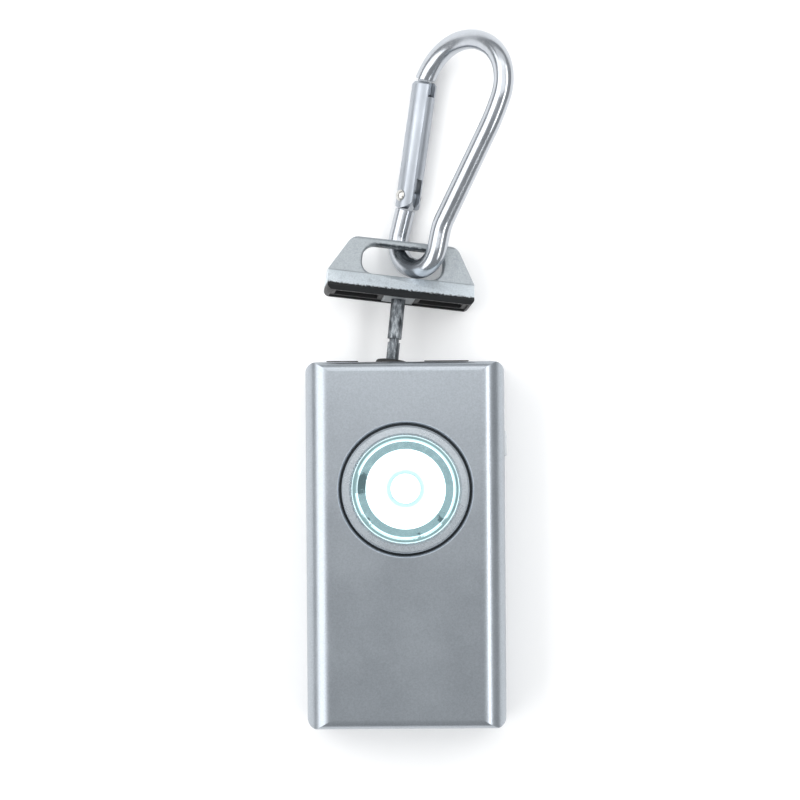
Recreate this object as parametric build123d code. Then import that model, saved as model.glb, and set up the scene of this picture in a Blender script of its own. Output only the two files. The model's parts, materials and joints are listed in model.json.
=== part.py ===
"""Keychain flashlight with a pull pin, a slotted pull cap and a small carabiner.

Millimetres. The light lies on its back: +Z leaves the lens, +Y points to the pin end, +X is to the right.
The origin is the centre of the housing's back face. The pin is drawn out and leans in its hole.
"""

from build123d import *
import os
from math import cos, radians, sin

# ---- housing
BODY_W = 35.0
BODY_L = 64.4
BODY_T = 16.0
WALL = 1.4
SPLIT_Z = 8.0
SEAM = 0.05
FRONT_SIDE_R = 4.2
BACK_SIDE_R = 3.0
END_R = 1.6
PLAN_R = 2.0
TOP_Y = BODY_L / 2
BOTTOM_Y = -BODY_L / 2
FRONT_IN = BODY_T - WALL

# ---- lens group, centred above the middle of the front face
LENS_Y = 9.8
HOLE_R = 11.65
BEZEL_R = 11.2
BEZEL_BORE_R = 9.53
BEZEL_FLANGE_R = 12.8
BEZEL_PROUD = 0.3
LENS_R = 9.45
LENS_FLAT_R = 8.63
LENS_TOP = 16.05
LENS_DOME_R = 110.0
CONE_R = 7.0
LED_R = 2.5

# ---- boards and sounder
BOARD_Z = 5.2
BOARD_T = 1.0
BOARD_TOP = BOARD_Z + BOARD_T
SOUNDER_R = 10.0

# ---- battery bay
CELL_R = 10.0
CELL_T = 3.2
CELL_Y = -18.0
CELL_Z = 2.55
DOOR_HALF = 10.3
DOOR_FLANGE = 0.75
DOOR_TOP_Y = -7.0
DOOR_GAP = 0.1

# ---- side button
BUTTON_Y = 17.65
BUTTON_L = 4.5
BUTTON_H = 3.0
BUTTON_PROUD = 0.45
SWITCH_FACE = 13.9
STEM_END = 14.5
FLANGE_FACE = BODY_W / 2 - WALL - 0.1

# ---- pin hole, guide plate and grommet
PIN_X = -2.35
HINGE_Y = 31.2
HINGE_Z = 8.0
GROMMET_R = 3.0
GROMMET_GAP = 0.06
GROMMET_UP = 1.25
PLATE_LEFT = -14.1
PLATE_RIGHT = 11.6
PLATE_HALF_Z = 3.4

# ---- pull pin, in a frame with +Y along the pin and its origin at the grommet's centre
PIN_TIP = -0.5
PIN_R = 1.25
PIN_TIP_R = 1.1
GROOVE_R = 0.85
GROOVE_Y = 4.5
GROOVE_W = 0.7
SOCKET_BORE_R = 1.75

# ---- pull cap, in the pin's frame
CAP_BOTTOM = 12.1
CAP_TOP = 22.6
CAP_HALF_W = 13.05
CAP_SHOULDER_X = 9.3
CAP_SIDE_TOP = 16.2
CAP_HALF_T = 1.5
CAP_BASE_HALF_T = 4.8
CAP_SKIN = 0.9
SLOT_W = 14.4
SLOT_H = 5.2
SLOT_Y = 18.7
HUB_TOP = 14.6

# ---- how the drawn-out pin and cap lie: lean to the right, tip down, turn about the pin
PIN_LEAN = -6.2
PIN_PITCH = -7.0
PIN_TURN = 4.5
PIN_POSE = Pos(PIN_X, HINGE_Y, HINGE_Z) * Rot(0, 0, PIN_LEAN) * Rot(PIN_PITCH, 0, 0) * Rot(0, PIN_TURN, 0)

# ---- carabiner, in its own plane: +X across the loop, +Y along it
WIRE_R = 1.785
GATE_R = 2.175
PIVOT = (-5.5, 11.7)
TONGUE_T = 1.3
GATE_SLOT = 1.5
GATE_TILT = 10.3
GATE_LEN = 20.65
NOSE_GAP = 0.35
CARABINER_AT = (1.4, 49.0, 4.9)
CARABINER_POSE = Pos(*CARABINER_AT) * Rot(0, 0, -15.75) * Rot(7.25, 0, 0) * Rot(0, -44.8, 0)

SCREWS = [(-13.0, 26.0), (13.0, 26.0), (-13.0, -27.0), (13.0, -27.0)]


def put(shape, name):
    """Write one node."""
    shape.label = name
    export_step(shape, f"parts/{name}.step")


def box(x0, x1, y0, y1, z0, z1):
    """A block given by its limits."""
    size = Box(x1 - x0, y1 - y0, z1 - z0)
    return Pos((x0 + x1) / 2, (y0 + y1) / 2, (z0 + z1) / 2) * size


def rod(radius, z0, z1, x=0.0, y=0.0):
    """A cylinder along Z given by its ends."""
    return Pos(x, y, (z0 + z1) / 2) * Cylinder(radius, z1 - z0)


def rod_y(radius, y0, y1, x=0.0, z=0.0):
    """A cylinder along Y given by its ends."""
    return Pos(x, (y0 + y1) / 2, z) * Rot(90, 0, 0) * Cylinder(radius, y1 - y0)


def ring(outer, inner, z0, z1, x=0.0, y=0.0):
    """A tube along Z."""
    return rod(outer, z0, z1, x, y) - rod(inner, z0 - 1, z1 + 1, x, y)


def ball_y(radius):
    """A sphere with its poles on Y."""
    return Rot(90, 0, 0) * Sphere(radius)


def turned(points):
    """A solid of revolution about Z from (radius, height) points."""
    profile = Plane.XZ * make_face(Polyline(*points, close=True))
    return revolve(profile, Axis.Z)


def rounded(width, height, top_r, low_r):
    """A rectangle with its own radius on the upper and on the lower corners."""
    face = Rectangle(width, height)
    face = fillet(face.vertices().sort_by(Axis.Y)[-2:], top_r)
    return fillet(face.vertices().sort_by(Axis.Y)[:2], low_r)


def housing_block(inset):
    """The housing's outer form, or the same form set in by a wall's thickness."""
    width = BODY_W - 2 * inset
    length = BODY_L - 2 * inset
    depth = BODY_T - 2 * inset
    middle = BODY_T / 2
    across = rounded(width, depth, FRONT_SIDE_R - inset, BACK_SIDE_R - inset)
    along = rounded(length, depth, max(END_R - inset, 0.3), max(END_R - inset, 0.3))
    plan = rounded(width, length, max(PLAN_R - inset, 0.5), max(PLAN_R - inset, 0.5))
    form = extrude(Plane.XZ * across, length, both=True)
    form = form & extrude(Plane.YZ * along, width, both=True)
    form = form & extrude(plan, depth, both=True)
    return Pos(0, 0, middle) * form


def plate_block(grow, y0, y1):
    """The outline of the pin guide plate, grown all round, between two heights."""
    low = PLATE_LEFT - grow
    high = PLATE_RIGHT + grow
    half = PLATE_HALF_Z + grow
    block = box(low, high, y0, y1, HINGE_Z - half, HINGE_Z + half)
    return fillet(block.edges().filter_by(Axis.Y), 1.6)


def button_block(grow, x0, x1):
    """The side button's outline, grown all round."""
    half_l = BUTTON_L / 2 + grow
    half_h = BUTTON_H / 2 + grow
    block = box(x0, x1, BUTTON_Y - half_l, BUTTON_Y + half_l, SPLIT_Z - half_h, SPLIT_Z + half_h)
    return fillet(block.edges().filter_by(Axis.X), 1.0)


def front_shell():
    """Front half: lens hole, top opening, button opening and screw bosses."""
    hollow = housing_block(0) - housing_block(WALL)
    shell = hollow & box(-20, 20, -40, 40, SPLIT_Z + SEAM, 20)
    for x, y in SCREWS:
        boss = rod(1.8, SPLIT_Z + SEAM, FRONT_IN + 0.2, x, y)
        shell = shell + boss - rod(1.03, SPLIT_Z, FRONT_IN - 2, x, y)
    shell = shell - rod(HOLE_R, FRONT_IN - 1, BODY_T + 1, 0, LENS_Y)
    chamfered = Pos(0, LENS_Y, 0) * turned([(0, 15.7), (HOLE_R, 15.7), (HOLE_R + 0.35, 16.05), (0, 16.05)])
    shell = shell - chamfered
    shell = shell - plate_block(0.06, TOP_Y - WALL - 0.5, TOP_Y + 1)
    return shell - button_block(0.08, BODY_W / 2 - WALL - 0.5, BODY_W / 2 + 1)


def door_form(grow):
    """The sliding door: a plate in the back wall, a flange inside it and the closing end."""
    wide = DOOR_HALF + DOOR_FLANGE
    plate = box(-DOOR_HALF - grow, DOOR_HALF + grow, -40, DOOR_TOP_Y + grow, -1, WALL + 0.1)
    flange = box(-wide - grow, wide + grow, -40, DOOR_TOP_Y + grow, WALL + 0.1 - grow, 2.2 + grow)
    return plate + flange


def rear_shell():
    """Back half: sound slots, screw bosses, battery bay opening and a lip that locates the front."""
    hollow = housing_block(0) - housing_block(WALL)
    shell = hollow & box(-20, 20, -40, 40, -1, SPLIT_Z - SEAM)
    lip = housing_block(WALL + 0.08) - housing_block(WALL + 0.7)
    lip = lip & box(-20, 12, -40, 28, SPLIT_Z - 1.5, SPLIT_Z + 0.9)
    base = housing_block(WALL - 0.01) - housing_block(WALL + 0.7)
    base = base & box(-20, 12, -40, 28, SPLIT_Z - 1.5, SPLIT_Z - SEAM)
    shell = shell + lip + base
    for x, y in SCREWS:
        shell = shell + rod(1.8, WALL - 0.2, SPLIT_Z - SEAM, x, y)
        lip_clear = rod(1.95, SPLIT_Z - SEAM, SPLIT_Z + 2, x, y)
        shell = shell - lip_clear - rod(1.1, 0.9, SPLIT_Z + 1, x, y) - rod(1.55, -1, 1.0, x, y)
    for step in range(-2, 3):
        half = 5.2 - 0.7 * abs(step)
        slot = SlotOverall(2 * half, 1.0)
        shell = shell - Pos(0, LENS_Y + 2.2 * step, 0) * extrude(slot, 3, both=True)
    shell = shell - door_form(DOOR_GAP)
    shell = shell - plate_block(0.06, TOP_Y - WALL - 0.5, TOP_Y + 1)
    return shell - button_block(0.08, BODY_W / 2 - WALL - 0.5, BODY_W / 2 + 1)


def battery_door():
    """Slides out of the bottom end. Grip ridges on its back."""
    outer = housing_block(0) & box(-20, 20, -40, 40, -1, 3)
    door = door_form(0) & outer
    for step in range(4):
        y = BOTTOM_Y + 3.2 + 1.3 * step
        door = door - Pos(0, y, 0) * Rot(0, 90, 0) * Cylinder(0.3, 9)
    return door


def bezel_ring():
    """Ring round the lens, with a flange behind the front wall."""
    top = BODY_T + BEZEL_PROUD
    points = [
        (BEZEL_BORE_R, 13.55),
        (BEZEL_FLANGE_R, 13.55),
        (BEZEL_FLANGE_R, FRONT_IN - 0.05),
        (BEZEL_R, FRONT_IN - 0.05),
        (BEZEL_R, top - 0.3),
        (BEZEL_R - 0.3, top),
        (BEZEL_BORE_R + 0.35, top),
        (BEZEL_BORE_R, top - 0.35),
    ]
    return Pos(0, LENS_Y, 0) * turned(points)


def lens():
    """Clear disc with a bevelled rim and a slightly domed face."""
    disc = turned([(0, 13.9), (LENS_R, 13.9), (LENS_R, 15.2), (LENS_FLAT_R, 15.7), (LENS_FLAT_R, 17), (0, 17)])
    dome = Pos(0, 0, LENS_TOP - LENS_DOME_R) * Sphere(LENS_DOME_R)
    return Pos(0, LENS_Y, 0) * (disc & dome)


def lens_gasket():
    """Seal between the lens and the reflector's rim."""
    return ring(LENS_R, 8.8, 13.45, 13.9, 0, LENS_Y)


def reflector():
    """Cup with a flat rim; the LED stands in its neck."""
    outside = turned([(0, 7.6), (3.6, 7.6), (5.0, 9.6), (7.9, 12.6), (12.3, 12.6), (12.3, 13.45), (0, 13.45)])
    neck = rod(LED_R + 0.12, 7, 9)
    wall = Spline((LED_R + 0.12, 8.4), (4.9, 10.3), (CONE_R, 13.5))
    close = Polyline((CONE_R, 13.5), (0, 13.5), (0, 8.4), (LED_R + 0.12, 8.4))
    cup = revolve(Plane.XZ * make_face(wall.edges() + close.edges()), Axis.Z)
    return Pos(0, LENS_Y, 0) * (outside - neck - cup)


def led():
    """Five-millimetre LED: flange, body and dome, with its two legs through the board."""
    body = rod(2.9, BOARD_TOP, BOARD_TOP + 1.0) + rod(LED_R, BOARD_TOP, 11.0)
    body = body + Pos(0, 0, 11.0) * Sphere(LED_R)
    for x in (-1.27, 1.27):
        body = body + rod(0.25, BOARD_Z - 0.5, BOARD_TOP + 0.1, x, 0)
    return Pos(0, LENS_Y, 0) * body


def main_board():
    """Board with a notch for the pin socket and a tab under the button's switch."""
    board = box(-10.6, 10.6, -4.0, 29.3, BOARD_Z, BOARD_TOP)
    board = board + box(10.0, SWITCH_FACE + 0.3, BUTTON_Y - 3.6, BUTTON_Y + 3.6, BOARD_Z, BOARD_TOP)
    board = board - box(PIN_X - 2.7, PIN_X + 2.7, 18.3, 30, BOARD_Z - 1, BOARD_TOP + 1)
    for x in (-1.27, 1.27):
        board = board - rod(0.27, BOARD_Z - 1, BOARD_TOP + 1, x, LENS_Y)
    return board


def driver_parts():
    """Chip, coil and capacitors on the board, as separate solids."""
    parts = [
        box(-9.4, -4.6, -2.4, 1.6, BOARD_TOP, BOARD_TOP + 1.4),
        rod(2.0, BOARD_TOP, BOARD_TOP + 2.6, 1.4, -0.6),
        box(5.2, 7.2, -2.6, -1.4, BOARD_TOP, BOARD_TOP + 0.6),
        box(5.2, 7.2, 0.0, 1.2, BOARD_TOP, BOARD_TOP + 0.6),
        box(-9.2, -7.6, 22.0, 24.6, BOARD_TOP, BOARD_TOP + 0.9),
    ]
    return Compound(parts)


def tact_switch():
    """Side-acting switch on the board's tab."""
    body = box(11.0, SWITCH_FACE, BUTTON_Y - 2.2, BUTTON_Y + 2.2, BOARD_TOP, BOARD_TOP + 3.4)
    bore = Pos(13.5, BUTTON_Y, SPLIT_Z) * Rot(0, 90, 0) * Cylinder(0.86, 2.4)
    return body - bore


def switch_plunger():
    """Moves with the button, in the switch's bore."""
    return Pos(STEM_END - 0.65, BUTTON_Y, SPLIT_Z) * Rot(0, 90, 0) * Cylinder(0.8, 1.3)


def side_button():
    """Translucent cap with a flange that keeps it in the housing."""
    cap = button_block(0, 15.4, BODY_W / 2 + BUTTON_PROUD)
    crown = cap.edges().filter_by(Plane.YZ).group_by(Axis.X)[-1]
    cap = fillet(crown, 0.35)
    flange = button_block(0.45, FLANGE_FACE - 0.5, FLANGE_FACE)
    stem = box(STEM_END, FLANGE_FACE - 0.4, BUTTON_Y - 1.0, BUTTON_Y + 1.0, SPLIT_Z - 0.9, SPLIT_Z + 0.9)
    return cap + flange + stem


def pin_guide_plate():
    """Black plate in the top end: two raised lands, a sunk middle and a ball seat for the grommet."""
    inner = TOP_Y - WALL
    plate = plate_block(0, inner - 0.06, TOP_Y - 0.05)
    plate = plate + plate_block(0.75, inner - 0.85, inner - 0.05)
    sunk = box(PIN_X - 5.75, PIN_X + 5.65, TOP_Y - 0.6, TOP_Y + 1, HINGE_Z - 2.8, HINGE_Z + 2.8)
    plate = plate - sunk
    for x0, x1 in ((PLATE_LEFT + 0.3, PIN_X - 5.9), (PIN_X + 5.8, PLATE_RIGHT - 0.3)):
        land = box(x0, x1, TOP_Y - 0.5, TOP_Y + 0.22, HINGE_Z - 2.6, HINGE_Z + 2.6)
        plate = plate + fillet(land.edges().filter_by(Axis.Y), 0.8)
    plate = plate - rod_y(1.9, 29, 31, PIN_X, HINGE_Z)
    return plate - Pos(PIN_X, HINGE_Y, HINGE_Z) * ball_y(GROMMET_R + GROMMET_GAP)


def pin_grommet():
    """Ball-sided collar that lets the drawn pin lean."""
    ball = ball_y(GROMMET_R) & box(-4, 4, -0.75, GROMMET_UP, -4, 4)
    crown = ball.edges().group_by(Axis.Y)[-1]
    ball = fillet(crown, 0.35)
    ball = ball - rod_y(PIN_R + 0.05, -4, 4)
    return PIN_POSE * ball


def pin_socket():
    """Barrel that takes the pin, narrower at its blind end, with two windows for the contacts."""
    barrel = rod_y(2.5, -12.4, -1.35)
    wide = rod_y(SOCKET_BORE_R, -9.0, 0)
    taper = Pos(0, -10.3, 0) * Rot(90, 0, 0) * Cone(SOCKET_BORE_R, 1.3, 2.6)
    windows = box(-3, 3, -11.2, -9.8, -0.7, 0.7)
    return Pos(PIN_X, HINGE_Y, HINGE_Z) * (barrel - wide - taper - windows)


def contact_leaves():
    """Two leaves beside the socket; their tips reach through its windows to the pin."""
    leaves = []
    for side in (-1, 1):
        leaf = box(2.56, 2.8, -12.0, -4.0, -1.0, 1.0)
        tip = Pos(2.05, -10.5, 0) * Rot(0, 90, 0) * Cylinder(0.5, 1.1)
        foot = box(2.56, 4.0, -4.9, -4.0, -1.8, -1.0)
        leaf = leaf + tip + foot
        if side < 0:
            leaf = mirror(leaf, Plane.YZ)
        leaves.append(Pos(PIN_X, HINGE_Y, HINGE_Z) * leaf)
    return Compound(leaves)


def sounder_ring():
    """Chamber ring that holds the sounder disc clear of the back wall."""
    low = ring(SOUNDER_R + 0.8, SOUNDER_R - 0.6, WALL, 2.9, 0, LENS_Y)
    high = ring(SOUNDER_R + 0.8, SOUNDER_R + 0.05, 2.9, 4.2, 0, LENS_Y)
    return low + high


def sounder_disc():
    """Brass disc with its ceramic layer."""
    return rod(SOUNDER_R, 2.9, 3.2, 0, LENS_Y) + rod(7.0, 3.2, 3.45, 0, LENS_Y)


def battery_tray():
    """Holds the two cells; open towards the door."""
    tray = box(-11.0, 11.0, CELL_Y - 11.0, CELL_Y + 11.0, 2.35, 10.0)
    tray = fillet(tray.edges().filter_by(Axis.Z), 1.5)
    tray = tray - rod(CELL_R + 0.25, 2, 9.45, 0, CELL_Y)
    return tray - box(-2.2, 2.2, CELL_Y + 9.5, CELL_Y + 10.7, 2, 9.45)


def coin_cells():
    """Two stacked cells."""
    cells = []
    for step in range(2):
        low = CELL_Z + step * CELL_T
        can = rod(CELL_R, low, low + CELL_T - 0.4, 0, CELL_Y)
        top = rod(CELL_R - 1.6, low, low + CELL_T, 0, CELL_Y)
        cells.append(can + top)
    return Compound(cells)


def battery_spring():
    """Leaf under the tray's roof that bears on the upper cell."""
    leaf = box(-1.5, 1.5, CELL_Y - 6, CELL_Y + 6, 9.2, 9.42)
    bump = rod(1.2, 8.96, 9.3, 0, CELL_Y)
    return leaf + bump


def battery_contact():
    """Side strip that touches the cells' rims."""
    return box(-2.0, 2.0, CELL_Y + 10.05, CELL_Y + 10.35, 3.0, 9.0)


def housing_screws():
    """Cross-head screws from the back, as separate solids."""
    screws = []
    for x, y in SCREWS:
        screw = rod(1.45, 0.2, 1.0) + rod(1.0, 1.0, 11.6)
        cross = box(-0.9, 0.9, -0.16, 0.16, 0, 0.6) + box(-0.16, 0.16, -0.9, 0.9, 0, 0.6)
        screws.append(Pos(x, y, 0) * (screw - cross))
    return Compound(screws)


def pull_pin():
    """Steel pin: thin tip, groove, shank and a head inside the hub."""
    groove_top = GROOVE_Y + GROOVE_W
    tip = chamfer(rod_y(PIN_TIP_R, PIN_TIP, GROOVE_Y).edges().group_by(Axis.Y)[0], 0.3)
    pin = tip + rod_y(GROOVE_R, GROOVE_Y, groove_top)
    pin = pin + rod_y(PIN_R, groove_top, 14.4) + rod_y(2.0, 13.7, 14.4)
    return PIN_POSE * pin


def cap_outline(x_in, bottom, top):
    """Front outline of the cap, set in from its sides."""
    side = CAP_HALF_W - x_in
    shoulder = CAP_SHOULDER_X - x_in
    half = [(side, bottom), (side, CAP_SIDE_TOP), (shoulder, top)]
    face = make_face(Polyline(*half, *[(-x, y) for x, y in reversed(half)], close=True))
    face = fillet(face.vertices().sort_by(Axis.Y)[:2], 1.0)
    face = fillet(face.vertices().sort_by(Axis.Y)[-2:], 2.4)
    return face


def cap_side(t_in, bottom, top):
    """Side outline of the cap: a flared base under a flat plate, as (Y, Z)."""
    base = CAP_BASE_HALF_T - t_in
    plate = CAP_HALF_T - t_in
    half = [(bottom, base), (CAP_BOTTOM + 0.8, base), (CAP_SIDE_TOP, plate), (top, plate)]
    return make_face(Polyline(*half, *[(y, -z) for y, z in reversed(half)], close=True))


def cap_shell():
    """Silver pull cap with the carabiner's slot."""
    side = cap_side(0, CAP_BOTTOM, CAP_TOP)
    side = fillet(side.vertices().sort_by(Axis.X)[-2:], 0.55)
    form = extrude(cap_outline(0, CAP_BOTTOM, CAP_TOP), 10, both=True)
    form = form & extrude(Plane.YZ * side, 20, both=True)
    slot = fillet(Rectangle(SLOT_W, SLOT_H).vertices(), 2.2)
    form = form - Pos(0, SLOT_Y, 0) * extrude(slot, 10, both=True)
    rims = form.edges().filter_by_position(Axis.Y, SLOT_Y - SLOT_H / 2 - 0.01, SLOT_Y + SLOT_H / 2 + 0.01)
    rims = rims.filter_by_position(Axis.X, -SLOT_W / 2 - 0.01, SLOT_W / 2 + 0.01)
    rims = ShapeList([e for e in rims if abs(abs(e.center().Z) - CAP_HALF_T) < 0.01])
    form = fillet(rims, 0.5)
    hollow = extrude(cap_hollow(0), 10, both=True)
    hollow = hollow & extrude(Plane.YZ * cap_side(CAP_SKIN, 0, 15.2), 20, both=True)
    return PIN_POSE * (form - hollow)


def cap_hollow(clearance):
    """Front outline of the hollow in the cap's base."""
    half = CAP_HALF_W - CAP_SKIN - clearance
    low = CAP_BOTTOM - 1
    return Pos(0, (low + 15.2 - clearance) / 2) * Rectangle(2 * half, 15.2 - clearance - low)


def cap_fill(low):
    """The solid that fits the cap's hollow down to a given height."""
    fill = extrude(cap_hollow(0.03), 10, both=True)
    fill = fill & extrude(Plane.YZ * cap_side(CAP_SKIN + 0.03, 0, 15.15), 20, both=True)
    return fill & box(-14, 14, low, 16, -5, 5)


def cap_insert():
    """Black insert with a pocket on each side of the hub."""
    insert = cap_fill(CAP_BOTTOM + 0.25) - box(-2.8, 2.8, 10, HUB_TOP + 0.02, -6, 6)
    for side in (-1, 1):
        pocket = box(3.7, 11.3, 10, 14.3, -2.5, 2.5)
        insert = insert - pocket if side > 0 else insert - mirror(pocket, Plane.YZ)
    return PIN_POSE * insert


def pin_hub():
    """Grey block that holds the pin's head."""
    hub = cap_fill(CAP_BOTTOM + 0.1) & box(-2.75, 2.75, 10, HUB_TOP, -6, 6)
    hub = hub - rod_y(PIN_R + 0.02, 10, 14.45) - rod_y(2.02, 13.68, 14.45)
    return PIN_POSE * hub


def wire_path():
    """Centreline of the carabiner's wire, from the leg under the gate round to the nose."""
    rise = (4.4 + 19.3 * cos(radians(76)), 8.9 + 19.3 * sin(radians(76)))
    low = FilletPolyline((-5.4, 9.3), (-5.0, 0), (5.35, 0), (4.4, 8.9), rise, radius=[4.8, 4.5, 8])
    slight = JernArc(low @ 1, low % 1, 35.3, 10.2)
    corner = JernArc(slight @ 1, slight % 1, 7.6, 76.9)
    crown = JernArc(corner @ 1, corner % 1, 10.8, 101)
    edges = low.edges() + slight.edges() + corner.edges() + crown.edges()
    return Wire(edges)


GATE_FRAME = Pos(*PIVOT) * Rot(0, 0, GATE_TILT)


def carabiner_frame():
    """Bent wire with a flat tongue at the gate's pivot and another at the nose."""
    path = wire_path()
    start = Plane(origin=path @ 0, z_dir=path % 0)
    wire = sweep(start * Circle(WIRE_R), path=path)
    nose_cut = GATE_FRAME * box(-5, 5, GATE_LEN - 3, GATE_LEN + NOSE_GAP, -4, 4)
    wire = wire - nose_cut
    pivot_tongue = Rectangle(2.7, 3.8, align=(Align.CENTER, Align.MAX)) + Circle(1.35)
    nose_tongue = Pos(0, GATE_LEN - 0.6) * Rectangle(2.3, 3.2)
    wire = wire + Pos(*PIVOT) * extrude(pivot_tongue, TONGUE_T / 2, both=True)
    wire = wire + GATE_FRAME * extrude(nose_tongue, TONGUE_T / 2, both=True)
    wire = wire - rod(0.62, -3, 3, *PIVOT)
    return CARABINER_POSE * wire


def gate():
    """Hollow gate with a forked end at the pivot and a slot for the nose."""
    tube = rod_y(GATE_R, -3, GATE_LEN)
    top_edge = tube.edges().group_by(Axis.Y)[-1]
    tube = chamfer(top_edge, 0.45)
    rounding = extrude(Pos(0, 15) * Rectangle(8, 30) + Circle(GATE_R + 0.02), 4, both=True)
    tube = tube & rounding
    tube = tube - rod_y(1.3, 0.5, GATE_LEN - 3.2)
    tube = tube - box(-4, 4, -4, 3.2, -GATE_SLOT / 2, GATE_SLOT / 2)
    tube = tube - box(-4, 4, GATE_LEN - 2.6, GATE_LEN + 1, -GATE_SLOT / 2, GATE_SLOT / 2)
    tube = tube - rod(0.66, -4, 4)
    return CARABINER_POSE * GATE_FRAME * tube


def gate_plunger():
    """Stepped pin that bears on the tongue's rounded end."""
    return CARABINER_POSE * GATE_FRAME * (rod_y(0.7, 1.6, 3.6) + rod_y(1.2, 3.6, 4.6))


def gate_spring():
    """Closing spring in the gate's bore, as its outer form."""
    spring = rod_y(1.2, 4.62, 12.0) - rod_y(0.8, 4, 13)
    return CARABINER_POSE * GATE_FRAME * spring


def gate_rivet():
    """Rivet through the gate and the tongue, with a domed head on each side."""
    rivet = rod(0.6, -2.5, 2.5)
    for side in (-1, 1):
        head = Sphere(1.25) & box(-2, 2, -2, 2, 0.75, 2)
        if side < 0:
            head = mirror(head, Plane.XY)
        rivet = rivet + Pos(0, 0, side * (GATE_R + 0.02 - 0.75)) * head
    return CARABINER_POSE * Pos(*PIVOT) * rivet


NODES = [
    front_shell,
    rear_shell,
    battery_door,
    bezel_ring,
    lens,
    lens_gasket,
    reflector,
    led,
    main_board,
    driver_parts,
    tact_switch,
    switch_plunger,
    side_button,
    pin_guide_plate,
    pin_grommet,
    pin_socket,
    contact_leaves,
    sounder_ring,
    sounder_disc,
    battery_tray,
    coin_cells,
    battery_spring,
    battery_contact,
    housing_screws,
    pull_pin,
    cap_shell,
    cap_insert,
    pin_hub,
    carabiner_frame,
    gate,
    gate_plunger,
    gate_spring,
    gate_rivet,
]

os.makedirs("parts", exist_ok=True)
for node in NODES:
    put(node(), node.__name__)
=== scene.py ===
"""Looks of the keychain flashlight with a pull pin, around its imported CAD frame. Metres, same axes."""
import json
import math

import bmesh
import bpy
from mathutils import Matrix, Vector


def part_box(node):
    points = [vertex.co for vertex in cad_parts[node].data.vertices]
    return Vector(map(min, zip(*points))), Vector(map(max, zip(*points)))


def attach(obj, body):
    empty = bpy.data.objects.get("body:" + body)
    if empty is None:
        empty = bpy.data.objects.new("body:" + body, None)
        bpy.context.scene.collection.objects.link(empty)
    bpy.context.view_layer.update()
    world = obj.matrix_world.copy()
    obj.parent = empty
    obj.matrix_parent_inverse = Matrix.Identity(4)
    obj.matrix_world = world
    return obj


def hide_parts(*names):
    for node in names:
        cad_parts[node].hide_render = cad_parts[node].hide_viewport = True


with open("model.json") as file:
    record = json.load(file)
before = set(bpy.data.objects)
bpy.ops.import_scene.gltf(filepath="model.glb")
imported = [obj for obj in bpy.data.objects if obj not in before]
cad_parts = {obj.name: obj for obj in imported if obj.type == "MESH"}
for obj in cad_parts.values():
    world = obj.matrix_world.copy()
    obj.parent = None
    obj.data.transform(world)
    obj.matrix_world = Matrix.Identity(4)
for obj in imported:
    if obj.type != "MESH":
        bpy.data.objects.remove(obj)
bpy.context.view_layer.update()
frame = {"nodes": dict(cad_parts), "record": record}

MM = 0.001
NODES = frame["nodes"]
BODIES = frame["record"]["behaviour"]["bodies"]
BODY_OF = {node: body for body, members in BODIES.items() for node in members}


def centre(node):
    """Middle of a CAD node's box."""
    low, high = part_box(node)
    return (low + high) / 2


# the pull cap's levels, measured along the pin from the world origin
PIN_AXIS = Vector((0.107194, 0.986741, -0.121869))
PIN_HOLE = Vector((-2.35, 31.2, 8.0)) * MM
HOLE_LEVEL = PIN_HOLE.dot(PIN_AXIS)
CAP_FOOT = HOLE_LEVEL + 13.4 * MM
CAP_CREASE = HOLE_LEVEL + 16.2 * MM
SLOT_TOP = HOLE_LEVEL + 21.3 * MM
BAR_HALF = (4.6 * MM, 6.4 * MM)

# the lens opening: gap round the bezel ring and its depth, which hold painted shade, the band of the painted highlight
# at its mouth, and the reflector behind it
GAP_OUTSIDE = (11.72 * MM, 11.8 * MM)
GAP_DEPTH = (15.45 * MM, 15.75 * MM)
RIM_LINE = (11.6 * MM, 12.2 * MM)
LENS_EDGE = (8.4 * MM, 9.6 * MM)
CUP_RADIUS = 8.0 * MM
CUP_RIM_Z = 13.45 * MM
WHITE = (1.0, 1.0, 1.0)

# ------------------------------------------------------------------ materials


def new_material(name):
    """A material with its node tree and its shader."""
    mat = bpy.data.materials.new(name)
    mat.use_nodes = True
    tree = mat.node_tree
    shader = tree.nodes["Principled BSDF"]
    return mat, tree, shader


def add(tree, kind, **values):
    """One node with some of its inputs or properties set."""
    node = tree.nodes.new(kind)
    for key, value in values.items():
        if key in node.inputs:
            node.inputs[key].default_value = value
        else:
            setattr(node, key, value)
    return node


def place_coords(tree):
    """Object coordinates, which are the row frame's metres."""
    return add(tree, "ShaderNodeTexCoord").outputs["Object"]


def noise_at(tree, coords, scale, detail=3.0, rough=0.6, stretch=None):
    """Noise in object space; stretch squeezes it along the axes."""
    source = coords
    if stretch:
        mapping = add(tree, "ShaderNodeMapping")
        mapping.inputs["Scale"].default_value = stretch
        tree.links.new(coords, mapping.inputs["Vector"])
        source = mapping.outputs["Vector"]
    node = add(tree, "ShaderNodeTexNoise", Scale=scale, Detail=detail, Roughness=rough)
    tree.links.new(source, node.inputs["Vector"])
    return node.outputs["Fac"]


def ramp(tree, source, stops):
    """Colour ramp from (position, colour) stops."""
    node = tree.nodes.new("ShaderNodeValToRGB")
    elements = node.color_ramp.elements
    while len(elements) < len(stops):
        elements.new(0.5)
    for element, (position, colour) in zip(elements, stops):
        element.position = position
        element.color = (*colour, 1.0)
    tree.links.new(source, node.inputs["Fac"])
    return node.outputs["Color"]


def spread(tree, source, low, high, start=0.3, stop=0.7):
    """Maps start..stop of a value to low..high, clamped."""
    node = add(tree, "ShaderNodeMapRange")
    for key, value in (("From Min", start), ("From Max", stop), ("To Min", low), ("To Max", high)):
        node.inputs[key].default_value = value
    tree.links.new(source, node.inputs["Value"])
    return node.outputs["Result"]


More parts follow.
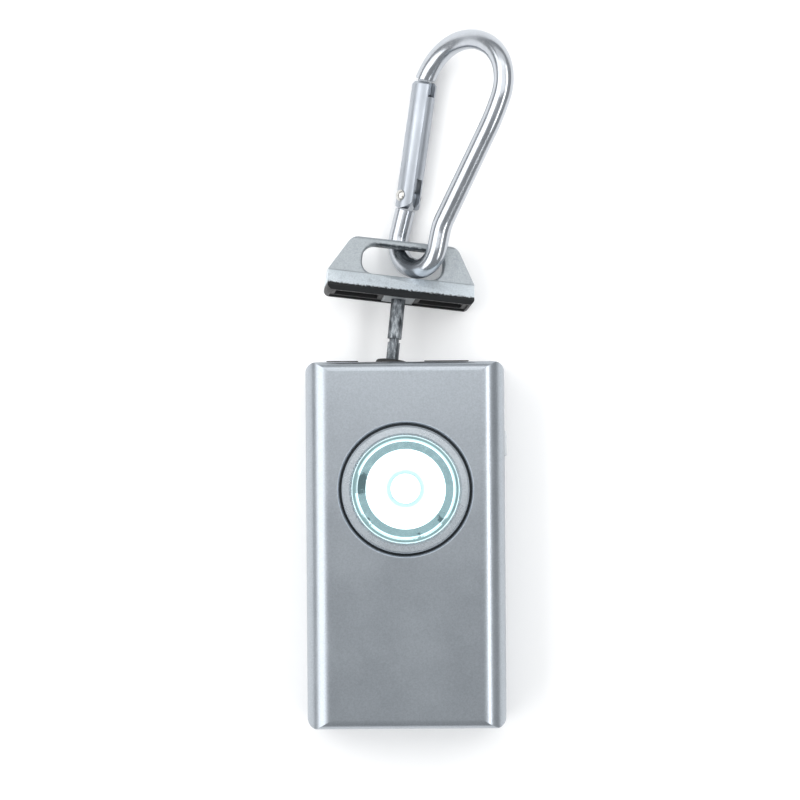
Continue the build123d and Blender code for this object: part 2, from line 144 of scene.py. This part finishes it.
def bump(tree, source, strength, distance, under=None):
    """Bump from a height, on top of another bump if there is one."""
    node = add(tree, "ShaderNodeBump", Strength=strength, Distance=distance)
    tree.links.new(source, node.inputs["Height"])
    if under:
        tree.links.new(under, node.inputs["Normal"])
    return node.outputs["Normal"]


def shade(colour, factor):
    """A colour made lighter or darker."""
    return tuple(min(1.0, c * factor) for c in colour)


def multiplied(tree, first, second):
    """Two colours multiplied."""
    mix = add(tree, "ShaderNodeMix", data_type="RGBA", blend_type="MULTIPLY", Factor=1.0)
    tree.links.new(first, mix.inputs["A"])
    tree.links.new(second, mix.inputs["B"])
    return mix.outputs["Result"]


def arithmetic(tree, operation, first, second=None):
    """One sum on one or two values."""
    node = add(tree, "ShaderNodeMath", operation=operation)
    tree.links.new(first, node.inputs[0])
    if second:
        tree.links.new(second, node.inputs[1])
    return node.outputs["Value"]


def split_axes(tree, coords):
    """The three coordinates, each on its own."""
    node = add(tree, "ShaderNodeSeparateXYZ")
    tree.links.new(coords, node.inputs["Vector"])
    return node.outputs


def distance_from(tree, coords, point):
    """Distance from a fixed point."""
    node = add(tree, "ShaderNodeVectorMath", operation="DISTANCE")
    node.inputs[1].default_value = point
    tree.links.new(coords, node.inputs[0])
    return node.outputs["Value"]


def surface(name, colour, metallic, roughness, grain=5000.0, depth=0.00001, vary=0.06, patch=260.0,
            specular=0.5, coat=0.0):
    """Grained surface: fine bump, soft patches of tone and of roughness."""
    mat, tree, shader = new_material(name)
    coords = place_coords(tree)
    fine = noise_at(tree, coords, grain, 2.0)
    broad = noise_at(tree, coords, patch, 4.0)
    tone = ramp(tree, broad, [(0.3, shade(colour, 1 - vary)), (0.7, shade(colour, 1 + vary))])
    tree.links.new(tone, shader.inputs["Base Color"])
    rough = spread(tree, broad, roughness * 0.88, roughness * 1.12)
    tree.links.new(rough, shader.inputs["Roughness"])
    tree.links.new(bump(tree, fine, 0.5, depth), shader.inputs["Normal"])
    shader.inputs["Metallic"].default_value = metallic
    shader.inputs["Specular IOR Level"].default_value = specular
    shader.inputs["Coat Weight"].default_value = coat
    return mat


def from_lens_axis(tree, coords):
    """Distance from the lens's axis, and height, for a point of the housing."""
    middle = centre("led")
    axes = split_axes(tree, coords)
    flat = add(tree, "ShaderNodeCombineXYZ")
    tree.links.new(axes["X"], flat.inputs["X"])
    tree.links.new(axes["Y"], flat.inputs["Y"])
    return distance_from(tree, flat.outputs["Vector"], (middle.x, middle.y, 0.0)), axes["Z"]


def painted_gap_shade_and_rim_highlight(tree, coords):
    """Painted shade darkens the depth of the narrow gap round the lens ring, and a painted highlight lights the line
    at its mouth.
    """
    away, height = from_lens_axis(tree, coords)
    near = spread(tree, away, 1.0, 0.0, *GAP_OUTSIDE)
    deep = spread(tree, height, 1.0, 0.0, *GAP_DEPTH)
    gap = arithmetic(tree, "MULTIPLY", near, deep)
    painted_dark = ramp(tree, gap, [(0.0, WHITE), (1.0, (0.07, 0.075, 0.08))])
    # painted highlight: the line at the gap's mouth is lit to 1.9 times the paint's colour
    painted_highlight = (1.9, 1.9, 1.9)
    painted_rim_line = ramp(tree, spread(tree, away, 0.0, 1.0, *RIM_LINE),
               [(0.3, WHITE), (0.42, painted_highlight), (0.58, painted_highlight), (0.72, WHITE)])
    return multiplied(tree, painted_dark, painted_rim_line)


def satin_paint(name, colour, roughness):
    """Silver paint: metal flake sparkle under a fine orange peel, with painted shade in the gap round the lens ring
    and a painted highlight at its mouth.
    """
    mat, tree, shader = new_material(name)
    coords = place_coords(tree)
    flake = noise_at(tree, coords, 3600.0, 2.0)
    peel = noise_at(tree, coords, 1500.0, 2.0)
    broad = noise_at(tree, coords, 90.0, 4.0)
    tone = ramp(tree, flake, [(0.32, shade(colour, 0.92)), (0.68, shade(colour, 1.08))])
    patches = ramp(tree, broad, [(0.3, (0.96, 0.96, 0.965)), (0.7, WHITE)])
    painted = multiplied(tree, tone, patches)
    # painted shade in the lens ring's gap and a painted highlight at its mouth
    tree.links.new(multiplied(tree, painted, painted_gap_shade_and_rim_highlight(tree, coords)), shader.inputs["Base Color"])
    tree.links.new(spread(tree, broad, roughness - 0.02, roughness + 0.03), shader.inputs["Roughness"])
    fine = bump(tree, flake, 0.25, 0.000006)
    tree.links.new(bump(tree, peel, 0.25, 0.00002, fine), shader.inputs["Normal"])
    shader.inputs["Metallic"].default_value = 0.92
    return mat


def dark_bar_band(tree, coords, height):
    """A dark band along the slot's upper bar, at the slot's top edge."""
    line = ramp(tree, spread(tree, height, 0.0, 1.0, SLOT_TOP - 0.6 * MM, SLOT_TOP + 0.6 * MM),
                [(0.35, WHITE), (0.5, (0.16, 0.17, 0.18)), (0.7, (0.2, 0.21, 0.22)), (0.9, WHITE)])
    across = arithmetic(tree, "ABSOLUTE", split_axes(tree, coords)["X"])
    bar = add(tree, "ShaderNodeMix", data_type="RGBA", A=(*WHITE, 1.0))
    tree.links.new(spread(tree, across, 1.0, 0.0, *BAR_HALF), bar.inputs["Factor"])
    tree.links.new(line, bar.inputs["B"])
    return bar.outputs["Result"]


def cast_paint(name, colour):
    """Pitted, speckled silver paint with scuffs, a near-black ragged band along its foot, a dark band along the slot's
    bar, and painted light on its flare.
    """
    mat, tree, shader = new_material(name)
    coords = place_coords(tree)
    speckle = noise_at(tree, coords, 5200.0, 3.0)
    pits = noise_at(tree, coords, 2600.0, 3.0)
    scuff = noise_at(tree, coords, 420.0, 6.0, 0.7)
    tone = ramp(tree, speckle, [(0.36, shade(colour, 0.85)), (0.5, colour), (0.66, shade(colour, 1.12))])
    worn = ramp(tree, scuff, [(0.3, (0.78, 0.79, 0.8)), (0.46, WHITE)])
    edge = add(tree, "ShaderNodeVectorMath", operation="DOT_PRODUCT")
    edge.inputs[1].default_value = PIN_AXIS
    tree.links.new(coords, edge.inputs[0])
    ragged = spread(tree, noise_at(tree, coords, 2400.0, 5.0, 0.75), -0.3 * MM, 0.3 * MM)
    height = arithmetic(tree, "ADD", edge.outputs["Value"], ragged)
    # a near-black, non-metallic ragged band along the cap's foot
    dark_foot_span = (CAP_FOOT, CAP_FOOT + 0.25 * MM)
    dark_foot = ramp(tree, spread(tree, height, 0.0, 1.0, *dark_foot_span), [(0.0, (0.012, 0.013, 0.014)), (1.0, WHITE)])
    # painted light: the flare band below the crease is made 1.9 times lighter
    painted_flare_light = ramp(tree, spread(tree, edge.outputs["Value"], 0.0, 1.0, CAP_CREASE - 0.3 * MM, CAP_CREASE),
                 [(0.0, (1.9, 1.9, 1.9)), (1.0, WHITE)])
    painted = multiplied(tree, multiplied(tree, multiplied(tree, tone, worn), painted_flare_light), dark_bar_band(tree, coords, height))
    tree.links.new(multiplied(tree, painted, dark_foot), shader.inputs["Base Color"])
    tree.links.new(spread(tree, height, 0.1, 0.8, *dark_foot_span), shader.inputs["Metallic"])
    shader.inputs["Specular IOR Level"].default_value = 0.2
    tree.links.new(spread(tree, pits, 0.38, 0.6), shader.inputs["Roughness"])
    fine = bump(tree, speckle, 0.35, 0.00002)
    tree.links.new(bump(tree, pits, 0.5, 0.00005, fine), shader.inputs["Normal"])
    return mat


def drawn_metal(name, colour, roughness, along, scratch=0.5):
    """Polished or drawn metal with fine lines along one direction."""
    mat, tree, shader = new_material(name)
    coords = place_coords(tree)
    lines = noise_at(tree, coords, 900.0, 4.0, 0.7, along)
    broad = noise_at(tree, coords, 220.0, 4.0)
    tone = ramp(tree, broad, [(0.3, shade(colour, 0.93)), (0.7, shade(colour, 1.04))])
    tree.links.new(tone, shader.inputs["Base Color"])
    tree.links.new(spread(tree, lines, roughness * 0.8, roughness * 1.25), shader.inputs["Roughness"])
    tree.links.new(bump(tree, lines, scratch, 0.000008), shader.inputs["Normal"])
    shader.inputs["Metallic"].default_value = 1.0
    return mat


def blackened_steel():
    """Dark pin steel, rubbed to lighter metal in streaks."""
    mat, tree, shader = new_material("pin_steel_worn")
    coords = place_coords(tree)
    streaks = noise_at(tree, coords, 1500.0, 5.0, 0.7, (1.0, 0.35, 1.0))
    fine = noise_at(tree, coords, 6000.0, 2.0)
    tone = ramp(tree, streaks, [(0.36, (0.04, 0.045, 0.05)), (0.52, (0.15, 0.165, 0.18)), (0.7, (0.45, 0.48, 0.5))])
    tree.links.new(tone, shader.inputs["Base Color"])
    tree.links.new(spread(tree, streaks, 0.34, 0.5), shader.inputs["Roughness"])
    tree.links.new(bump(tree, fine, 0.5, 0.00002), shader.inputs["Normal"])
    shader.inputs["Metallic"].default_value = 0.9
    return mat


def lens_with_painted_glow():
    """Clear plastic with faint moulding waves; painted glow on its two edges and, fainter, between them."""
    mat, tree, shader = new_material("lens_clear_plastic")
    coords = place_coords(tree)
    waves = noise_at(tree, coords, 300.0, 2.0)
    tone = ramp(tree, waves, [(0.3, (0.84, 0.95, 0.96)), (0.7, (0.88, 0.98, 0.99))])
    tree.links.new(tone, shader.inputs["Base Color"])
    tree.links.new(spread(tree, waves, 0.02, 0.035), shader.inputs["Roughness"])
    tree.links.new(bump(tree, waves, 0.05, 0.00001), shader.inputs["Normal"])
    away = from_lens_axis(tree, coords)[0]
    span = spread(tree, away, 0.0, 1.0, *LENS_EDGE)
    # painted glow: emission on the lens's two edges and, fainter, between them
    inner, between, outer = (0.45, 0.52, 0.54), (0.1, 0.13, 0.13), (0.55, 0.62, 0.64)
    painted_glow = ramp(tree, span, [(0.0, (0.0, 0.0, 0.0)), (0.05, inner), (0.12, inner), (0.17, between), (0.72, between),
                             (0.8, outer)])
    tree.links.new(painted_glow, shader.inputs["Emission Color"])
    shader.inputs["Emission Strength"].default_value = 1.0
    shader.inputs["Transmission Weight"].default_value = 1.0
    shader.inputs["IOR"].default_value = 1.12
    return mat


# where dark reflections are painted on the cup's rim: place from the lens's axis, and reach, in mm
PAINTED_REFLECTION_SPOTS = (((-8.1, 1.2), 2.1), ((6.7, -5.6), 1.1), ((2.3, -8.3), 0.8), ((-6.8, -5.2), 0.8))


def painted_dark_reflection(tree, tone, coords, middle, spot, reach):
    """Painted dark reflection: darkens a tone round one spot of the cup's rim, with a broken edge."""
    away = distance_from(tree, coords, (middle.x + spot[0] * MM, middle.y + spot[1] * MM, CUP_RIM_Z))
    ragged = spread(tree, noise_at(tree, coords, 900.0, 5.0, 0.75), -1.1 * MM, 1.1 * MM)
    painted_dark = ramp(tree, spread(tree, arithmetic(tree, "ADD", away, ragged), 0.0, 1.0, (reach - 0.5) * MM, reach * MM),
                [(0.0, (0.05, 0.09, 0.1)), (1.0, WHITE)])
    return multiplied(tree, tone, painted_dark)


def cup_with_painted_light():
    """Plated cup with painted light: a glowing band on its cone where the LED's light would fall, a darker tone
    towards its throat, and painted dark reflections on its flat mirror rim.
    """
    mat, tree, shader = new_material("mirror_cup_painted_light")
    middle = centre("led")
    coords = place_coords(tree)
    away = from_lens_axis(tree, coords)[0]
    near = spread(tree, away, 0.0, 1.0, 0.0, CUP_RADIUS)
    # painted light: a glowing band across the cup's cone, with a faint glow in its throat and on its rim
    painted_flood_colour = (1.6, 1.7, 1.7)
    painted_flood = ramp(tree, near, [(0.0, (0.12, 0.13, 0.135)), (0.4, (0.16, 0.175, 0.18)), (0.52, painted_flood_colour),
                              (0.865, painted_flood_colour), (0.885, (0.12, 0.16, 0.17))])
    # tone of the plating darker towards the throat
    throat = ramp(tree, near, [(0.0, (0.36, 0.365, 0.37)), (0.4, (0.42, 0.425, 0.43)), (0.52, WHITE)])
    tree.links.new(painted_flood, shader.inputs["Emission Color"])
    shader.inputs["Emission Strength"].default_value = 1.0
    plating = noise_at(tree, coords, 700.0, 3.0)
    tone = ramp(tree, plating, [(0.3, (0.7, 0.85, 0.88)), (0.7, (0.8, 0.93, 0.95))])
    # painted dark reflections on the cup's rim
    for spot, reach in PAINTED_REFLECTION_SPOTS:
        tone = painted_dark_reflection(tree, tone, coords, middle, spot, reach)
    tree.links.new(multiplied(tree, tone, throat), shader.inputs["Base Color"])
    tree.links.new(spread(tree, plating, 0.05, 0.14), shader.inputs["Roughness"])
    shader.inputs["Metallic"].default_value = 1.0
    return mat


def lit_led():
    """Clear LED with a bright heart."""
    mat, tree, shader = new_material("led_lit")
    coords = place_coords(tree)
    waves = noise_at(tree, coords, 900.0, 2.0)
    tree.links.new(ramp(tree, waves, [(0.3, (0.9, 0.97, 1.0)), (0.7, WHITE)]), shader.inputs["Base Color"])
    tree.links.new(spread(tree, waves, 0.1, 0.2), shader.inputs["Roughness"])
    shader.inputs["Emission Color"].default_value = (0.93, 0.99, 1.0, 1.0)
    shader.inputs["Emission Strength"].default_value = 1.1
    return mat


def circuit_green():
    """Solder mask over faint copper tracks."""
    mat, tree, shader = new_material("board_green_mask")
    coords = place_coords(tree)
    bricks = add(tree, "ShaderNodeTexBrick", Scale=420.0)
    bricks.inputs["Mortar Size"].default_value = 0.08
    bricks.inputs["Color1"].default_value = (0.02, 0.11, 0.05, 1.0)
    bricks.inputs["Color2"].default_value = (0.02, 0.13, 0.06, 1.0)
    bricks.inputs["Mortar"].default_value = (0.05, 0.2, 0.09, 1.0)
    tree.links.new(coords, bricks.inputs["Vector"])
    tree.links.new(bricks.outputs["Color"], shader.inputs["Base Color"])
    fine = noise_at(tree, coords, 3000.0)
    tree.links.new(spread(tree, fine, 0.3, 0.42), shader.inputs["Roughness"])
    tree.links.new(bump(tree, fine, 0.2, 0.00001), shader.inputs["Normal"])
    return mat


MATERIALS = {
    "pale_silicone": surface("gasket_silicone", (0.62, 0.7, 0.72), 0.0, 0.4),
    "satin_silver": satin_paint("satin_silver_paint", (0.42, 0.455, 0.49), 0.3),
    "bezel_silver": satin_paint("bezel_silver_paint", (0.6, 0.65, 0.69), 0.27),
    "lens_clear": lens_with_painted_glow(),
    "mirror_cup": cup_with_painted_light(),
    "led_epoxy": lit_led(),
    "board_green": circuit_green(),
    "component_black": surface("component_black", (0.02, 0.02, 0.022), 0.0, 0.45),
    "black_plastic": surface("black_plastic", (0.006, 0.006, 0.007), 0.0, 0.5, specular=0.25),
    "black_rubber": surface("black_rubber", (0.02, 0.02, 0.021), 0.0, 0.65, vary=0.15),
    "button_white": surface("button_translucent", (0.7, 0.73, 0.75), 0.0, 0.3, coat=0.2),
    "brass": drawn_metal("brass_disc", (0.78, 0.6, 0.3), 0.28, (1, 1, 1)),
    "contact_steel": drawn_metal("contact_nickel", (0.62, 0.61, 0.58), 0.26, (1, 0.2, 1)),
    "screw_steel": drawn_metal("screw_plated", (0.5, 0.5, 0.52), 0.3, (1, 1, 0.2)),
    "pin_steel": blackened_steel(),
    "cap_silver": cast_paint("cap_silver_paint", (0.35, 0.38, 0.4)),
    "hub_grey": surface("hub_grey", (0.33, 0.35, 0.36), 0.0, 0.5),
    "wire_aluminium": drawn_metal("wire_aluminium_polished", (0.5, 0.525, 0.56), 0.21, (1, 0.15, 1), 0.3),
    "gate_aluminium": drawn_metal("gate_aluminium_satin", (0.43, 0.46, 0.5), 0.4, (1, 0.15, 1), 0.5),
}
SLOT_OF = {row["node"]: row["material_slot"] for row in frame["record"]["subparts"]}


def dress(piece, slot):
    """Gives a piece its one material."""
    piece.data.materials.clear()
    piece.data.materials.append(MATERIALS[slot])


# ------------------------------------------------------------------ pieces


def smooth(piece, angle=35.0):
    """Smooth shading that keeps sharp edges sharp."""
    mesh = piece.data
    mesh.polygons.foreach_set("use_smooth", [True] * len(mesh.polygons))
    work = bmesh.new()
    work.from_mesh(mesh)
    for edge in work.edges:
        if len(edge.link_faces) == 2:
            edge.smooth = edge.calc_face_angle() < math.radians(angle)
    work.to_mesh(mesh)
    work.free()


MERGE_DISTANCE = 0.002 * MM
FLAT_ANGLE = math.radians(0.6)
SHARP_ANGLE = math.radians(38)


def place_on(node, piece):
    """Dresses a piece and lets it stand in for its CAD node."""
    smooth(piece)
    dress(piece, SLOT_OF[node])
    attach(piece, BODY_OF[node])
    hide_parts(node)


def refine(node, width):
    """A finer copy of a CAD node: flat faces joined, sharp edges broken by a small round."""
    source = NODES[node]
    mesh = source.data.copy()
    piece = bpy.data.objects.new(node + "_fine", mesh)
    bpy.context.scene.collection.objects.link(piece)
    work = bmesh.new()
    work.from_mesh(mesh)
    bmesh.ops.remove_doubles(work, verts=work.verts, dist=MERGE_DISTANCE)
    bmesh.ops.dissolve_limit(work, angle_limit=FLAT_ANGLE, verts=work.verts, edges=work.edges)
    work.to_mesh(mesh)
    work.free()
    edge_round = piece.modifiers.new("edge_round", "BEVEL")
    edge_round.width = width
    edge_round.segments = 3
    edge_round.limit_method = "ANGLE"
    edge_round.angle_limit = SHARP_ANGLE
    graph = bpy.context.evaluated_depsgraph_get()
    final = bpy.data.meshes.new_from_object(piece.evaluated_get(graph))
    piece.modifiers.clear()
    piece.data = final
    place_on(node, piece)


def carry_over():
    """Every CAD node gets its finish; its shape stays."""
    for node, obj in NODES.items():
        dress(obj, SLOT_OF[node])


def coil(name, node, base, along, radius, wire, length, turns):
    """A round-wire compression spring that takes the place of a CAD tube."""
    across = along.cross(Vector((0, 0, 1))).normalized()
    third = along.cross(across)
    per_turn, sides = 24, 8
    rings = []
    work = bmesh.new()
    for step in range(turns * per_turn + 1):
        turn = 2 * math.pi * step / per_turn
        out = across * math.cos(turn) + third * math.sin(turn)
        middle = base + out * radius + along * (length * step / (turns * per_turn))
        rings.append([work.verts.new(middle + (out * math.cos(a) + along * math.sin(a)) * wire)
                      for a in (2 * math.pi * k / sides for k in range(sides))])
    for first, second in zip(rings, rings[1:]):
        for k in range(sides):
            work.faces.new((first[k], first[(k + 1) % sides], second[(k + 1) % sides], second[k]))
    work.faces.new(rings[0][::-1])
    work.faces.new(rings[-1])
    bmesh.ops.recalc_face_normals(work, faces=work.faces)
    mesh = bpy.data.meshes.new(name)
    work.to_mesh(mesh)
    work.free()
    piece = bpy.data.objects.new(name, mesh)
    bpy.context.scene.collection.objects.link(piece)
    place_on(node, piece)


# size of the small round along each piece's edges
EDGE_ROUNDS = {
    "cap_shell": 0.10 * MM,
    "cap_insert": 0.08 * MM,
    "pin_guide_plate": 0.10 * MM,
    "side_button": 0.08 * MM,
    "gate": 0.12 * MM,
    "battery_door": 0.10 * MM,
    "pin_hub": 0.08 * MM,
}
SPRING_LENGTH = 7.38 * MM
SPRING_RADIUS = 1.0 * MM
SPRING_WIRE = 0.17 * MM
SPRING_TURNS = 10


def make_gate_coil():
    """The coil inside the gate, in the middle of the CAD tube and in line with the plunger."""
    middle = centre("gate_spring")
    along = (middle - centre("gate_plunger")).normalized()
    coil("gate_coil", "gate_spring", middle - along * (SPRING_LENGTH / 2 - SPRING_WIRE), along, SPRING_RADIUS,
         SPRING_WIRE, SPRING_LENGTH - 2 * SPRING_WIRE, SPRING_TURNS)


carry_over()
for node, width in EDGE_ROUNDS.items():
    refine(node, width)
make_gate_coil()


# ------------------------------------------------------------------ stage

FLOOR_Z = -0.02 * MM
FLOOR_SIZE = 6.0
VIEW_HEIGHT = 0.700
FACE_Z = 0.008
VIEW_WIDTH = 0.1416
VIEW_CENTRE = (-0.000868, 0.025476)
VIEW_ROLL = math.radians(-0.39)
SENSOR = 36.0
WORLD_STRENGTH = 0.4


def make_camera():
    """Looks straight down on the light."""
    data = bpy.data.cameras.new("camera")
    data.sensor_width = SENSOR
    data.lens = SENSOR * VIEW_HEIGHT / VIEW_WIDTH
    data.clip_start = 0.01
    camera = bpy.data.objects.new("camera", data)
    camera.location = (*VIEW_CENTRE, FACE_Z + VIEW_HEIGHT)
    camera.rotation_euler = (0.0, 0.0, VIEW_ROLL)
    bpy.context.scene.collection.objects.link(camera)
    bpy.context.scene.camera = camera


def make_floor():
    """Plain pale surface under the light."""
    bpy.ops.mesh.primitive_plane_add(size=FLOOR_SIZE, location=(0, 0, FLOOR_Z))
    floor = bpy.context.object
    floor.name = "floor"
    mat, _, shader = new_material("floor_white")
    shader.inputs["Base Color"].default_value = (0.93, 0.93, 0.93, 1.0)
    shader.inputs["Roughness"].default_value = 0.9
    shader.inputs["Emission Color"].default_value = (1.0, 1.0, 1.0, 1.0)
    shader.inputs["Emission Strength"].default_value = 0.1
    floor.data.materials.append(mat)


def make_light(name, place, target, size, power):
    """A soft box aimed at a point."""
    data = bpy.data.lights.new(name, "AREA")
    data.shape = "RECTANGLE"
    data.size, data.size_y = size
    data.energy = power
    lamp = bpy.data.objects.new(name, data)
    lamp.location = place
    lamp.rotation_euler = (Vector(target) - Vector(place)).to_track_quat("-Z", "Y").to_euler()
    lamp.visible_camera = False
    bpy.context.scene.collection.objects.link(lamp)


def make_world(strength):
    """Even pale surroundings."""
    world = bpy.data.worlds.new("studio")
    world.use_nodes = True
    back = world.node_tree.nodes["Background"]
    back.inputs["Color"].default_value = (0.95, 0.975, 1.0, 1.0)
    back.inputs["Strength"].default_value = strength
    bpy.context.scene.world = world


def panel_power(radiance, size):
    """Power that gives a soft box its radiance."""
    return radiance * math.pi * size[0] * size[1]


# name, place, aim, size (across, then along the tilt) and radiance. The low overhead box shades the face from top to
# bottom, and the darker ground between the boxes gives the wire its streaks.
SOFT_BOXES = [
    ("overhead", (-0.02, 0.205, 0.30), (-0.02, 0.2049, 0.0), (0.30, 0.36), 1.2),
    ("left_box", (-0.73, 0.03, 0.68), (0.0, 0.03, 0.0), (1.6, 0.73), 2.2),
    ("right_strip", (0.60, 0.03, 0.80), (0.0, 0.03, 0.0), (1.6, 0.22), 4.4),
    ("top_box", (0.0, 0.95, 0.66), (0.0, 0.0, 0.0), (1.3, 0.55), 0.65),
]
make_camera()
make_floor()
make_world(WORLD_STRENGTH)
for label, place, aim, size, radiance in SOFT_BOXES:
    make_light(label, place, aim, size, panel_power(radiance, size))
bpy.context.scene.view_settings.view_transform = "Standard"
